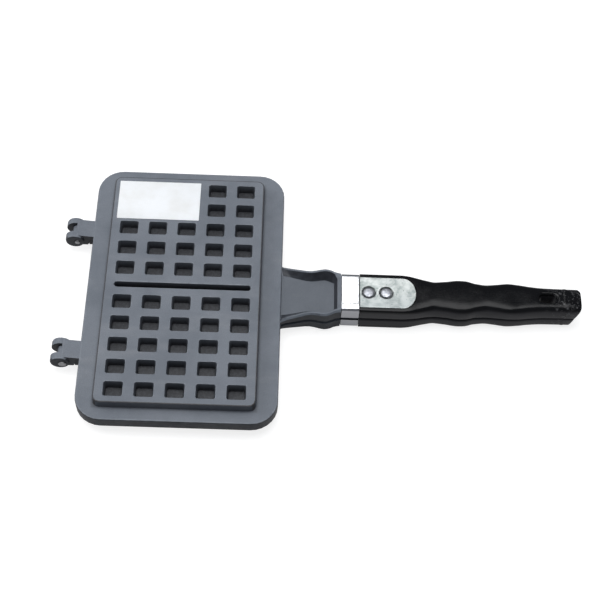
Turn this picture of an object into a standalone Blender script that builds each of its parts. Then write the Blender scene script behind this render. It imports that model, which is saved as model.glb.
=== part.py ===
"""Stovetop waffle iron: two cast halves on a two-lug hinge, each with its own half of the handle.

Lengths are in metres. X runs from the hinge to the handle, Y across the plates, Z up. The part stands on the
plane Z = 0. Every piece of a half is drawn in that half's own frame: x and y from the panel's centre, z from the
parting plane. The lower half is the same frame turned over.
"""
import math

import bmesh
import bpy
from mathutils import Matrix, Vector

# Whole iron
half_height = 0.012
touch_gap = 0.0003
overrun = 0.002
merge_distance = 0.00001

# Cast plate: flange and raised panel
plate_width = 0.1423
plate_length = 0.2137
plate_corner = 0.019
flange_thickness = 0.0053
flange_edge = 0.0012
hinge_rim = 0.0132
neck_rim = 0.0155
end_rim = 0.01035
panel_corner = 0.005
panel_draft = 0.0006
panel_edge = 0.0008

# Recesses in the outer face, which are the hollow backs of the pegs
pocket_columns = 5
pocket_rows = 5
grid_side_margin = 0.00305
grid_end_margin = 0.00177
middle_pitch = 0.029
pocket_width_share = 0.6233
pocket_length_share = 0.6226
pocket_corner = 0.0012
pocket_draft = 0.0011

# Slot between the two waffles, with sloped lips
slot_margin = 0.00705
slot_width = 0.0045
slot_lip = 0.0007

# Inside: two waffle cavities with pegs
ceiling_thickness = 0.003
side_wall = 0.0022
peg_wall = 0.0015
peg_tip = 0.0021
peg_gap = 0.005
cavity_draft = 0.0012
cavity_corner = 0.004

# Hinge lugs
lug_spacing = 0.104
pin_offset = 0.012
pin_radius = 0.002
pin_head_radius = 0.0029
pin_head_height = 0.0009
pin_tail = 0.0008
pin_edge = 0.0005
knuckle_offset = 0.002
knuckle_radius = 0.007
knuckle_width = 0.018
knuckle_edge = 0.0015
ear_web_width = 0.0144
ear_lift = 0.0015
ear_slope = math.radians(12)
lug_slot_width = 0.0072
lug_slot_depth = 0.0085
tongue_radius = 0.0046
tongue_width = 0.0062
tongue_clearance = 0.0006

# Neck of the casting, a channel that narrows from the flange to the ferrule
neck_length = 0.0436
neck_root = 0.005
neck_half_width = 0.022
neck_gap = 0.0016
collar_setback = 0.0006
rim_width = 0.0022

# Ferrule and the tenon inside it
ferrule_length = 0.0133
ferrule_half_width = 0.0162
ferrule_setback = 0.0001
ferrule_wall = 0.0009

# Tang inside the grip
tang_length = 0.055
tang_half_width = 0.007
tang_low = 0.001
tang_thickness = 0.005
tang_corner = 0.002

# Grip
grip_length = 0.1626
grip_half_width = 0.0163
grip_setback = 0.0003
grip_gap = 0.001
grip_end_gap = 0.0003
grip_edge = 0.0012
grip_taper = 0.0108
grip_end_lean = 0.0033
grip_end_chamfer = 0.0018
grip_end_inset = 0.0012
grip_end_drop = 0.0004
bead_inset = 0.0115
bead_width = 0.0018
bead_height = 0.0002
hanger_length = 0.013
hanger_width = 0.0072
hanger_inset = 0.0243
hanger_edge = 0.0018

# Cover plate let into the grip, with its two rivets
cover_length = 0.0413
cover_round = 0.010
cover_margin = 0.0034
cover_setback = 0.0001
cover_thickness = 0.0014
rivet_inset = 0.0066
rivet_pitch = 0.0128
rivet_radius = 0.002
rivet_head_radius = 0.0037
rivet_head_height = 0.0007
rivet_tail_radius = 0.0032
rivet_dish_radius = 0.0053
rivet_dish_depth = 0.001
washer_radius = 0.0042
washer_thickness = 0.0008

# Screw at the end of the tang, with its insert in the grip
screw_inset = 0.006
screw_radius = 0.0016
screw_head_radius = 0.0032
screw_head_height = 0.0016
insert_radius = 0.003
insert_length = 0.0038

# Paper label on the panel
label_length = 0.0615
label_width = 0.0345
label_thickness = 0.0002
label_side_margin = 0.00385
label_end_margin = 0.00405

# Heads of pins and rivets: shares of the head's radius and of its height
head_shares = ((0.0, 1.0), (0.5, 0.85), (0.85, 0.5), (1.0, 0.0))
screw_tip_share = 0.6
screw_head_share = 0.7

# Shares along the grip, the grip's half width there as a share of its full half width, and the power
# of the rounded section there: the higher it is, the fuller the section's corners
grip_closing_share = 0.45
grip_wave_shares = (
    (0.000, 1.000, 16.0), (0.187, 1.000, 16.0), (0.222, 0.980, 12.0), (0.257, 0.935, 7.0), (0.296, 0.855, 5.6),
    (0.340, 0.810, 4.0), (0.385, 0.830, 4.7), (0.449, 0.910, 5.0), (0.483, 0.885, 5.4), (0.528, 0.775, 4.7),
    (0.572, 0.752, 3.7), (0.622, 0.775, 4.4), (0.676, 0.805, 5.8), (0.720, 0.790, 4.7), (0.770, 0.725, 4.3),
    (0.830, 0.670, 4.2), (0.910, 0.650, 4.3), (1.000, 0.645, 4.3))

# Shares along the neck, then shares of the neck's half width or the collar's height:
# half width, height of the rims, half width of the floor, height of the floor, edge of the rims
neck_shares = (
    (0.000, 1.22, 0.39, 0.80, 0.305, 0.05),
    (0.057, 1.19, 0.40, 0.79, 0.305, 0.05),
    (0.088, 1.12, 0.47, 0.78, 0.305, 0.05),
    (0.124, 1.07, 0.52, 0.76, 0.305, 0.05),
    (0.190, 1.02, 0.59, 0.74, 0.305, 0.05),
    (0.344, 0.94, 0.70, 0.66, 0.305, 0.05),
    (0.549, 0.855, 0.83, 0.58, 0.305, 0.05),
    (0.759, 0.92, 0.92, 0.645, 0.305, 0.05),
    (0.857, 0.86, 0.97, 0.57, 0.305, 0.05),
    (0.900, 0.81, 0.985, 0.53, 0.305, 0.06),
    (0.943, 0.78, 0.995, 0.51, 0.95, 0.065),
    (1.000, 0.755, 1.00, 0.49, 0.985, 0.07))

# Fineness of round shapes
corner_steps = 7
round_steps = 24
heel_steps = 4
small_steps = 16
dome_steps = 11
neck_stations = 16
grip_stations = 28
cover_rows = 8
cover_columns = 7
edge_segments = 2
smooth_angle = math.radians(35)

# Derived sizes
panel_width = plate_width - hinge_rim - neck_rim
panel_length = plate_length - 2 * end_rim
pitch_x = (panel_width - 2 * grid_side_margin) / pocket_columns
pitch_y = (panel_length - middle_pitch - 2 * grid_end_margin) / (2 * pocket_rows - 1)
pocket_width = pitch_x * pocket_width_share
pocket_length = pitch_y * pocket_length_share
slot_length = panel_width - 2 * slot_margin
collar_height = half_height - collar_setback
ferrule_height = half_height - ferrule_setback
grip_height = half_height - grip_setback
cover_height = half_height - cover_setback
cover_half_width = grip_half_width - cover_margin
ear_drop = knuckle_radius - ear_lift
crown_power = grip_wave_shares[0][2]

# Derived places in a half's frame
hinge_edge = panel_width / 2 + hinge_rim
neck_edge = panel_width / 2 + neck_rim
pin_reach = hinge_edge + pin_offset
neck_end = neck_edge + neck_length
ferrule_end = neck_end + ferrule_length
grip_start = ferrule_end + touch_gap
handle_end = grip_start + grip_length
end_top = grip_height - grip_end_drop
tang_end = ferrule_end + tang_length
lug_reach = knuckle_offset + knuckle_radius
lug_tip = pin_reach + lug_reach
plate_x = (lug_tip - handle_end) / 2
parting = touch_gap / 2
ceiling = half_height - ceiling_thickness
peg_end = peg_gap / 2
pocket_floor = peg_end + peg_tip
tang_top = tang_low + tang_thickness
pin_bore = pin_radius + touch_gap
rivet_bore = rivet_radius + touch_gap
rivet_places = (grip_start + rivet_inset, grip_start + rivet_inset + rivet_pitch)
screw_place = tang_end - screw_inset
screw_bore = screw_radius + touch_gap
screw_head_top = touch_gap + screw_head_height


def clear_scene():
    for item in list(bpy.data.objects):
        bpy.data.objects.remove(item, do_unlink=True)
    for old in list(bpy.data.collections):
        bpy.data.collections.remove(old)


def new_collection(name):
    collection = bpy.data.collections.new(name)
    bpy.context.scene.collection.children.link(collection)
    return collection


def material(name, colour, roughness, metallic):
    made = bpy.data.materials.new(name)
    made.use_nodes = True
    shader = made.node_tree.nodes["Principled BSDF"]
    shader.inputs["Base Color"].default_value = (*colour, 1.0)
    shader.inputs["Roughness"].default_value = roughness
    shader.inputs["Metallic"].default_value = metallic
    made.diffuse_color = (*colour, 1.0)
    return made


clear_scene()
parts = new_collection("stovetop_waffle_iron")
cutters = new_collection("cutters")

cast_dark = material("cast_dark", (0.17, 0.18, 0.20), 0.48, 0.55)
chrome = material("chrome", (0.85, 0.86, 0.87), 0.12, 1.0)
cover_metal = material("cover_metal", (0.62, 0.65, 0.64), 0.35, 1.0)
grip_black = material("grip_black", (0.012, 0.012, 0.013), 0.25, 0.0)
steel = material("steel", (0.45, 0.46, 0.47), 0.3, 1.0)
brass = material("brass", (0.65, 0.48, 0.18), 0.3, 1.0)
paper = material("paper", (0.86, 0.87, 0.88), 0.8, 0.0)


# Frames of the two halves. The upper one sits on the joint's axis.

def half_frame(name, turn):
    frame = bpy.data.objects.new(name, None)
    frame.empty_display_size = half_height
    frame.location = (plate_x - pin_reach, 0.0, half_height)
    frame.rotation_euler = (turn, 0.0, 0.0)
    parts.objects.link(frame)
    return frame


upper_frame = half_frame("upper_half_on_hinge_axis", 0.0)
lower_frame = half_frame("lower_half_on_hinge_axis", math.pi)


# Placing pieces and tools

def place(item, frame, where=(0.0, 0.0, 0.0)):
    """Puts an object at a place given from the panel's centre on the parting plane."""
    item.parent = frame
    item.location = Vector(where) + Vector((pin_reach, 0.0, 0.0))


def piece(name, mesh, look, frame, where=(0.0, 0.0, 0.0)):
    item = bpy.data.objects.new(name, mesh)
    parts.objects.link(item)
    place(item, frame, where)
    item.data.materials.clear()
    item.data.materials.append(look)
    item.data.shade_smooth()
    item.data.set_sharp_from_angle(angle=smooth_angle)
    return item


def tool(name, mesh, frame, where=(0.0, 0.0, 0.0)):
    item = bpy.data.objects.new(name, mesh)
    cutters.objects.link(item)
    place(item, frame, where)
    item.hide_render = True
    item.display_type = "WIRE"
    return item


def combine(item, operand, operation):
    step = item.modifiers.new(operand.name, "BOOLEAN")
    step.operation = operation
    step.object = operand
    step.solver = "EXACT"


def cut(item, operand):
    combine(item, operand, "DIFFERENCE")


def join(item, operand):
    combine(item, operand, "UNION")


def finish_mesh(bm, name):
    bmesh.ops.recalc_face_normals(bm, faces=bm.faces)
    mesh = bpy.data.meshes.new(name)
    bm.to_mesh(mesh)
    bm.free()
    return mesh


# Outlines and shapes

def arc(centre, radius, start, end, steps):
    """Points on an arc from one angle to another, both ends included."""
    points = []
    for step in range(steps + 1):
        angle = start + (end - start) * step / steps
        points.append((centre[0] + radius * math.cos(angle), centre[1] + radius * math.sin(angle)))
    return points


def rounded_rectangle(half_x, half_y, radius):
    points = []
    inner_x = half_x - radius
    inner_y = half_y - radius
    quarter = math.pi / 2
    corners = ((inner_x, inner_y), (-inner_x, inner_y), (-inner_x, -inner_y), (inner_x, -inner_y))
    for turn, corner in enumerate(corners):
        points += arc(corner, radius, turn * quarter, (turn + 1) * quarter, corner_steps)
    return points


def slab(outline, low, high, name):
    """A flat outline as a 2D curve, raised from low to high and turned into a mesh."""
    curve = bpy.data.curves.new(name, "CURVE")
    curve.dimensions = "2D"
    curve.fill_mode = "BOTH"
    curve.extrude = (high - low) / 2
    spline = curve.splines.new("POLY")
    spline.points.add(len(outline) - 1)
    for point, (x, y) in zip(spline.points, outline):
        point.co = (x, y, 0.0, 1.0)
    spline.use_cyclic_u = True
    guide = bpy.data.objects.new(name, curve)
    cutters.objects.link(guide)
    bpy.context.view_layer.update()
    evaluated = guide.evaluated_get(bpy.context.evaluated_depsgraph_get())
    mesh = bpy.data.meshes.new_from_object(evaluated)
    bm = bmesh.new()
    bm.from_mesh(mesh)
    bmesh.ops.remove_doubles(bm, verts=bm.verts, dist=merge_distance)
    bmesh.ops.translate(bm, verts=bm.verts, vec=(0.0, 0.0, (high + low) / 2))
    bpy.data.objects.remove(guide)
    bpy.data.meshes.remove(mesh)
    return bm


def mouth_mesh(half_x, half_y, edge, top, name):
    """A cutter that slopes the edge of a round-ended opening in a face at the height top. It starts inside it."""
    wide_x = half_x + 2 * edge + touch_gap
    wide_y = half_y + 2 * edge + touch_gap
    bm = slab(rounded_rectangle(wide_x, wide_y, wide_y - touch_gap), top - edge, top + edge, name)
    for vert in bm.verts:
        if vert.co.z < top:
            vert.co.x *= (half_x - touch_gap) / wide_x
            vert.co.y *= (half_y - touch_gap) / wide_y
    return finish_mesh(bm, name)


def upright(bm, centre_y):
    """Turns a slab drawn in X and Z so that it stands across Y, centred on centre_y."""
    bmesh.ops.rotate(bm, verts=bm.verts, cent=(0.0, 0.0, 0.0), matrix=Matrix.Rotation(math.pi / 2, 3, "X"))
    bmesh.ops.translate(bm, verts=bm.verts, vec=(0.0, centre_y, 0.0))


def merge(target, source):
    """Adds one bmesh to another as a separate body."""
    mesh = bpy.data.meshes.new("merged")
    source.to_mesh(mesh)
    source.free()
    target.from_mesh(mesh)
    bpy.data.meshes.remove(mesh)


def block(bm, centre, half, low, high, low_draft=0.0, corner=0.0, segments=1):
    """A block that is narrower by low_draft all round at its lower end, with rounded upright edges."""
    size = Vector((2 * half[0], 2 * half[1], high - low))
    middle = Vector((centre[0], centre[1], (high + low) / 2))
    made = bmesh.ops.create_cube(bm, size=1, matrix=Matrix.LocRotScale(middle, None, size))["verts"]
    for vert in made:
        if vert.co.z < middle.z:
            vert.co.x -= math.copysign(low_draft, vert.co.x - centre[0])
            vert.co.y -= math.copysign(low_draft, vert.co.y - centre[1])
    if corner > 0:
        upright_edges = {edge for vert in made for edge in vert.link_edges
                         if (edge.verts[0].co.z - middle.z) * (edge.verts[1].co.z - middle.z) < 0}
        bmesh.ops.bevel(bm, geom=list(upright_edges), offset=corner, segments=segments, profile=0.5,
                        affect="EDGES", offset_type="OFFSET")


def rod(bm, centre, radius, length, direction):
    """A solid cylinder with its axis along direction, centred on centre."""
    turn = Vector((0.0, 0.0, 1.0)).rotation_difference(Vector(direction))
    matrix = Matrix.LocRotScale(Vector(centre), turn, None)
    bmesh.ops.create_cone(bm, cap_ends=True, segments=round_steps, radius1=radius, radius2=radius,
                          depth=length, matrix=matrix)


def loft(sections):
    """A closed body through sections that have the same number of points."""
    bm = bmesh.new()
    rings = [[bm.verts.new(point) for point in section] for section in sections]
    count = len(sections[0])
    for first, second in zip(rings, rings[1:]):
        for index in range(count):
            following = (index + 1) % count
            bm.faces.new((first[index], first[following], second[following], second[index]))
    bm.faces.new(rings[0])
    bm.faces.new(rings[-1])
    return bm


def sheet(rows):
    """An open surface through rows of points."""
    bm = bmesh.new()
    lines = [[bm.verts.new(point) for point in row] for row in rows]
    for first, second in zip(lines, lines[1:]):
        for index in range(len(first) - 1):
            bm.faces.new((first[index], first[index + 1], second[index + 1], second[index]))
    return bm


def row_slope(grades, index):
    """Slope at a row of a table, zero where the curve turns back."""
    if index == 0:
        return grades[0]
    if index == len(grades):
        return grades[-1]
    before = grades[index - 1]
    after = grades[index]
    if before * after <= 0:
        return 0.0
    return 2 * before * after / (before + after)


def smooth_rows(table, share):
    """Values between the rows of a table, on a smooth curve that doesn't overshoot them."""
    places = [row[0] for row in table]
    index = 0
    while index < len(places) - 2 and share > places[index + 1]:
        index += 1
    span = places[index + 1] - places[index]
    along = (share - places[index]) / span
    rise = along * along * (3 - 2 * along)
    leave = along * (1 - along) ** 2
    arrive = along * along * (along - 1)
    values = []
    for column in range(1, len(table[0])):
        levels = [row[column] for row in table]
        grades = [(levels[i + 1] - levels[i]) / (places[i + 1] - places[i]) for i in range(len(places) - 1)]
        bend = span * (row_slope(grades, index) * leave + row_slope(grades, index + 1) * arrive)
        values.append(levels[index] + (levels[index + 1] - levels[index]) * rise + bend)
    return values


def dome(half_width, low, height, power):
    """Points over a rounded half section, from +Y at the low side over the top to -Y."""
    points = []
    for step in range(2 * dome_steps + 1):
        angle = math.pi / 2 * step / dome_steps
        across = math.copysign(abs(math.cos(angle)) ** (2 / power), math.cos(angle))
        points.append((half_width * across, low + (height - low) * abs(math.sin(angle)) ** (2 / power)))
    return points


def crown(y, half_width, low, height):
    """Height of the rounded section at y."""
    return low + (height - low) * max(0.0, 1 - (abs(y) / half_width) ** crown_power) ** (1 / crown_power)


# Turned pieces

def turned(name, profile, look, frame, where, direction=(0.0, 0.0, 1.0), closed=False):
    """A profile of (radius, height) points, from the top down the outer side, turned about its axis."""
    mesh = bpy.data.meshes.new(name)
    points = [(radius, 0.0, height) for radius, height in profile]
    edges = [(index, index + 1) for index in range(len(points) - 1)]
    if closed:
        edges.append((len(points) - 1, 0))
    mesh.from_pydata(points, edges, [])
    item = bpy.data.objects.new(name, mesh)
    parts.objects.link(item)
    place(item, frame, where)
    item.rotation_mode = "QUATERNION"
    item.rotation_quaternion = Vector((0.0, 0.0, 1.0)).rotation_difference(Vector(direction))
    screw = item.modifiers.new("turn", "SCREW")
    screw.steps = small_steps
    screw.render_steps = small_steps
    screw.use_merge_vertices = True
    screw.merge_threshold = merge_distance
    screw.use_smooth_shade = True
    item.data.materials.append(look)
    return item


# Recess grid

def pocket_centres():
    for side in (1, -1):
        for row in range(pocket_rows):
            for column in range(pocket_columns):
                x = (column - (pocket_columns - 1) / 2) * pitch_x
                yield x, side * (middle_pitch / 2 + row * pitch_y)


def pocket_mesh():
    bm = bmesh.new()
    half = (pocket_width / 2, pocket_length / 2)
    for centre in pocket_centres():
        block(bm, centre, half, pocket_floor, half_height + touch_gap, pocket_draft, pocket_corner)
    return finish_mesh(bm, "pockets")


def peg_mesh():
    bm = bmesh.new()
    half = (pocket_width / 2 + peg_wall, pocket_length / 2 + peg_wall)
    for centre in pocket_centres():
        block(bm, centre, half, peg_end, ceiling + ceiling_thickness / 4, pocket_draft)
    return finish_mesh(bm, "pegs")


def cavity_mesh():
    """The two waffle cavities, wide at the parting plane and narrower by the draft at the ceiling."""
    bm = bmesh.new()
    inner = slot_width / 2 + peg_wall
    outer = panel_length / 2 + panel_draft - side_wall
    half = (panel_width / 2 + panel_draft - side_wall, (outer - inner) / 2)
    for side in (1, -1):
        centre = (0.0, side * (outer + inner) / 2)
        block(bm, centre, half, -ceiling, overrun, cavity_draft, cavity_corner, edge_segments)
    bmesh.ops.rotate(bm, verts=bm.verts, cent=(0.0, 0.0, 0.0), matrix=Matrix.Rotation(math.pi, 3, "X"))
    return finish_mesh(bm, "cavities")


def slot_mesh():
    outline = rounded_rectangle(slot_length / 2, slot_width / 2, slot_width / 2 - touch_gap)
    return finish_mesh(slab(outline, pocket_floor, half_height + overrun, "slot"), "slot")


def slot_lip_mesh():
    return mouth_mesh(slot_length / 2, slot_width / 2, slot_lip, half_height, "slot_lips")


# Casting

def flange_mesh():
    outline = rounded_rectangle(plate_width / 2, plate_length / 2, plate_corner)
    bm = slab(outline, parting, flange_thickness, "flange")
    bmesh.ops.translate(bm, verts=bm.verts, vec=((neck_edge - hinge_edge) / 2, 0.0, 0.0))
    rim = [edge for edge in bm.edges if min(vert.co.z for vert in edge.verts) > flange_thickness - touch_gap
           and edge.calc_face_angle(0.0) > smooth_angle]
    bmesh.ops.bevel(bm, geom=rim, offset=flange_edge, segments=edge_segments, profile=0.5, affect="EDGES")
    return finish_mesh(bm, "flange")


def panel_mesh():
    """The raised panel, narrower at its outer face by the draft."""
    bm = bmesh.new()
    half = (panel_width / 2 + panel_draft, panel_length / 2 + panel_draft)
    low = -flange_thickness / 2
    block(bm, (0.0, 0.0), half, -half_height, low, panel_draft, panel_corner, edge_segments + 1)
    bmesh.ops.rotate(bm, verts=bm.verts, cent=(0.0, 0.0, 0.0), matrix=Matrix.Rotation(math.pi, 3, "X"))
    rim = [edge for edge in bm.edges if min(vert.co.z for vert in edge.verts) > half_height - touch_gap]
    bmesh.ops.bevel(bm, geom=rim, offset=panel_edge, segments=edge_segments, profile=0.5, affect="EDGES")
    return finish_mesh(bm, "panel")


def neck_section(x, values):
    width, crest, floor_width, floor, edge = values
    half_width = width * neck_half_width
    top = crest * collar_height
    bevel = edge * neck_half_width
    side = [
        (half_width, neck_gap),
        (half_width, top - bevel),
        (half_width - bevel, top),
        (half_width - bevel - rim_width / 2, top),
        (floor_width * neck_half_width, floor * collar_height)]
    return [(x, y, z) for y, z in side] + [(x, -y, z) for y, z in reversed(side)]


def neck_mesh():
    start = neck_edge - neck_root
    shares = []
    for row, following in zip(neck_shares, neck_shares[1:]):
        span = following[0] - row[0]
        steps = max(1, round(span * neck_stations))
        shares += [row[0] + span * step / steps for step in range(steps)]
    shares.append(1.0)
    sections = []
    for share in shares:
        x = start + (neck_end - start) * share
        sections.append(neck_section(x, smooth_rows(neck_shares, share)))
    return finish_mesh(loft(sections), "neck")


def tenon_mesh():
    """The part of the casting inside the ferrule."""
    inset = ferrule_wall + touch_gap
    outline = dome(ferrule_half_width - inset, neck_gap, ferrule_height - inset, crown_power)
    ends = (neck_end - overrun, ferrule_end)
    return finish_mesh(loft([[(x, y, z) for y, z in outline] for x in ends]), "tenon")


def tang_mesh():
    bm = bmesh.new()
    middle = (ferrule_end + tang_end - overrun) / 2
    half = (tang_end - middle, tang_half_width)
    block(bm, (middle, 0.0), half, tang_low, tang_top, 0.0, tang_corner, edge_segments)
    return finish_mesh(bm, "tang")


def bore(bm, x, radius, top):
    """An upright cylinder at x on the middle plane, from below the parting plane to the height top."""
    rod(bm, (x, 0.0, (top - overrun) / 2), radius, top + overrun, (0.0, 0.0, 1.0))


def tang_hole_mesh():
    bm = bmesh.new()
    for x in rivet_places:
        bore(bm, x, rivet_bore, tang_top + overrun)
    bore(bm, screw_place, screw_bore, tang_top + overrun)
    return finish_mesh(bm, "tang_holes")


def tang_mouth_mesh():
    """Wide mouths at the parting side for the rivets' washers and the screw's head."""
    bm = bmesh.new()
    for x in rivet_places:
        bore(bm, x, washer_radius + touch_gap, tang_low + washer_thickness + 2 * touch_gap)
    bore(bm, screw_place, screw_head_radius + touch_gap, screw_head_top + touch_gap)
    return finish_mesh(bm, "tang_mouths")


def lug_centres():
    return (lug_spacing / 2, -lug_spacing / 2)


def ear_mesh():
    """The ears with their web, one outline in X and Z for each lug. Its round end lies inside the knuckle."""
    centre = (-pin_reach - knuckle_offset, 0.0)
    radius = knuckle_radius - touch_gap
    low = parting + touch_gap
    top = flange_thickness - touch_gap
    start = 2 * math.pi - math.asin(ear_drop / radius)
    end = math.pi / 2 - ear_slope
    heel_start = math.asin(low / lug_reach)
    heel_end = -math.asin(ear_drop / lug_reach)
    outline = [(-hinge_edge + neck_root, low)]
    outline += arc((-pin_reach, 0.0), lug_reach, heel_start, heel_end, heel_steps)
    outline += arc(centre, radius, start, end, round_steps // 2)
    outline += [(-hinge_edge, top), (-hinge_edge + neck_root, top)]
    bm = bmesh.new()
    for y in lug_centres():
        web = slab(outline, -ear_web_width / 2, ear_web_width / 2, "ear")
        upright(web, y)
        merge(bm, web)
    return finish_mesh(bm, "ears")


def knuckle_mesh():
    """The round bosses at the ends of the ears."""
    bm = bmesh.new()
    for y in lug_centres():
        rod(bm, (-pin_reach - knuckle_offset, y, 0.0), knuckle_radius, knuckle_width, (0.0, 1.0, 0.0))
    rims = [edge for edge in bm.edges if edge.calc_face_angle(0.0) > math.pi / 4]
    bmesh.ops.bevel(bm, geom=rims, offset=knuckle_edge, segments=edge_segments, profile=0.5, affect="EDGES")
    return finish_mesh(bm, "knuckles")


def lug_slot_mesh():
    """The space between the ears for the tongue: open outwards and downwards, roofed over near the flange."""
    centre = (-pin_reach, 0.0)
    radius = tongue_radius + tongue_clearance
    slot_end = -lug_tip + lug_slot_depth
    reach = lug_tip + overrun
    height = knuckle_radius + overrun
    low = parting + 2 * touch_gap
    start = math.asin(low / radius)
    end = math.acos((slot_end + pin_reach) / radius)
    outline = [(-reach, -height), (-hinge_edge - touch_gap, -height), (-hinge_edge - touch_gap, low)]
    outline += arc(centre, radius, start, end, round_steps // 3)
    outline += [(slot_end, height), (-reach, height)]
    bm = bmesh.new()
    for y in lug_centres():
        space = slab(outline, -lug_slot_width / 2, lug_slot_width / 2, "lug_slot")
        upright(space, y)
        merge(bm, space)
    return finish_mesh(bm, "lug_slots")


def tongue_mesh():
    """The tongues of the lower half, which stand between the ears."""
    centre = (-pin_reach, 0.0)
    low = parting + 2 * touch_gap
    top = flange_thickness - 2 * touch_gap
    root = -hinge_edge + hinge_rim / 2
    start = math.asin(low / tongue_radius)
    outline = [(root, top), (root, low)]
    outline += arc(centre, tongue_radius, start, start - math.pi * 3 / 2, round_steps * 3 // 4)
    bm = bmesh.new()
    for y in lug_centres():
        tongue = slab(outline, -tongue_width / 2, tongue_width / 2, "tongue")
        upright(tongue, y)
        merge(bm, tongue)
    return finish_mesh(bm, "tongues")


def tongue_root_mesh():
    """The wide roots of the tongues, hollowed round the path of the ears."""
    low = parting + touch_gap
    top = flange_thickness - touch_gap
    radius = lug_reach + tongue_clearance
    outline = [(-hinge_edge + neck_root, low)]
    outline += arc((-pin_reach, 0.0), radius, math.asin(low / radius), math.asin(top / radius), heel_steps)
    outline.append((-hinge_edge + neck_root, top))
    bm = bmesh.new()
    for y in lug_centres():
        root = slab(outline, -ear_web_width / 2, ear_web_width / 2, "tongue_root")
        upright(root, y)
        merge(bm, root)
    return finish_mesh(bm, "tongue_roots")


def pin_hole_mesh():
    bm = bmesh.new()
    for y in lug_centres():
        rod(bm, (-pin_reach, y, 0.0), pin_bore, knuckle_width + overrun, (0.0, 1.0, 0.0))
    return finish_mesh(bm, "pin_holes")


cast_meshes = {
    "flange": flange_mesh(),
    "panel": panel_mesh(),
    "neck": neck_mesh(),
    "tenon": tenon_mesh(),
    "tang": tang_mesh(),
    "cavities": cavity_mesh(),
    "pegs": peg_mesh(),
    "pockets": pocket_mesh(),
    "slot": slot_mesh(),
    "slot_lips": slot_lip_mesh(),
    "tang_holes": tang_hole_mesh(),
    "tang_mouths": tang_mouth_mesh(),
    "pin_holes": pin_hole_mesh()}


def casting(half, frame, hinge_steps):
    """One cast half. hinge_steps lists the meshes of its share of the hinge, with their operations."""
    item = piece(half + "_plate", cast_meshes["flange"].copy(), cast_dark, frame)
    steps = [("panel", join), ("neck", join), ("tenon", join), ("tang", join), ("cavities", cut), ("pegs", join),
             ("pockets", cut), ("slot", cut), ("slot_lips", cut), ("tang_holes", cut), ("tang_mouths", cut)]
    for name, action in steps:
        action(item, tool(half + "_" + name, cast_meshes[name], frame))
    for name, mesh, action in hinge_steps:
        action(item, tool(half + "_" + name, mesh, frame))
    cut(item, tool(half + "_pin_holes", cast_meshes["pin_holes"], frame))
    return item


casting("upper", upper_frame, (("ears", ear_mesh(), join), ("knuckles", knuckle_mesh(), join),
                               ("lug_slots", lug_slot_mesh(), cut)))
casting("lower", lower_frame, (("tongue_roots", tongue_root_mesh(), join), ("tongues", tongue_mesh(), join)))


# Hinge pins, each with its head on the outer side

def head_points(radius, height, seat):
    """The profile of a domed head above its seat."""
    return [(across * radius, seat + rise * height) for across, rise in head_shares]


def hinge_pin(name, side):
    seat = knuckle_width / 2 + touch_gap
    foot = -knuckle_width / 2 - pin_tail
    profile = head_points(pin_head_radius, pin_head_height, seat)
    profile += [
        (pin_radius, seat),
        (pin_radius, foot + pin_edge),
        (pin_radius - pin_edge, foot),
        (0.0, foot)]
    turned(name, profile, steel, upper_frame, (-pin_reach, side * lug_spacing / 2, 0.0), (0.0, side, 0.0))


hinge_pin("hinge_pin_rear", 1)
hinge_pin("hinge_pin_front", -1)


# Ferrules: a thin band over the tenon, open at the parting side

def ferrule(name, frame):
    outline = dome(ferrule_half_width, neck_gap, ferrule_height, crown_power)
    ends = (neck_end + touch_gap, ferrule_end)
    bm = sheet([[(x, y, z) for y, z in outline] for x in ends])
    mesh = bpy.data.meshes.new(name)
    bm.to_mesh(mesh)
    bm.free()
    item = piece(name, mesh, chrome, frame)
    wall = item.modifiers.new("wall", "SOLIDIFY")
    wall.thickness = ferrule_wall
    wall.offset = -1
    wall.use_even_offset = True


# Grip halves

def grip_section(x, lean):
    """The rounded section at x, with the bead round the end. The end leans one way on both halves."""
    taper = max(0.0, (x - handle_end + grip_taper) / grip_taper)
    bead = bead_height * max(0.0, 1 - abs(x - handle_end + bead_inset) / bead_width)
    inset = grip_end_inset * max(0.0, 1 - (handle_end - x) / grip_end_chamfer)
    share = min(1.0, max(0.0, (x - grip_start) / grip_length))
    width_share, power = smooth_rows(grip_wave_shares, share)
    closing = max(0.0, (share - grip_closing_share) / (1 - grip_closing_share))
    low = grip_gap + (grip_end_gap - grip_gap) * closing
    half_width = width_share * grip_half_width + bead - inset
    height = grip_height + bead - grip_end_drop * inset / grip_end_inset
    foot = half_width - grip_edge
    outline = [(foot, low)] + dome(half_width, low + grip_edge, height, power) + [(-foot, low)]
    slope = taper * grip_end_lean / half_height
    return [(x - slope * (end_top - lean * z), y, z) for y, z in outline]


def grip_mesh(lean):
    bead_place = handle_end - bead_inset
    last = bead_place - bead_width
    places = [grip_start + (last - grip_start) * step / grip_stations for step in range(grip_stations + 1)]
    places += [bead_place, bead_place + bead_width, handle_end - grip_end_chamfer, handle_end]
    return finish_mesh(loft([grip_section(x, lean) for x in places]), "grip")


def crown_rows(length, half_width, drop):
    """Rows of points over the grip's crown, with the rounded end of the cover plate."""
    rows = []
    straight = length - cover_round
    for step in range(cover_rows + 1):
        turn = math.pi / 2 * step / cover_rows
        along = straight + cover_round * math.sin(turn)
        spread = half_width * max(math.cos(turn), touch_gap / half_width)
        if step == 0:
            places = (0.0, straight)
        else:
            places = (along,)
        for place_x in places:
            row = []
            for index in range(-cover_columns, cover_columns + 1):
                y = spread * math.sin(math.pi / 2 * index / cover_columns)
                row.append((place_x, y, crown(y, grip_half_width, grip_gap, cover_height) - drop))
            rows.append(row)
    return rows


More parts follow.
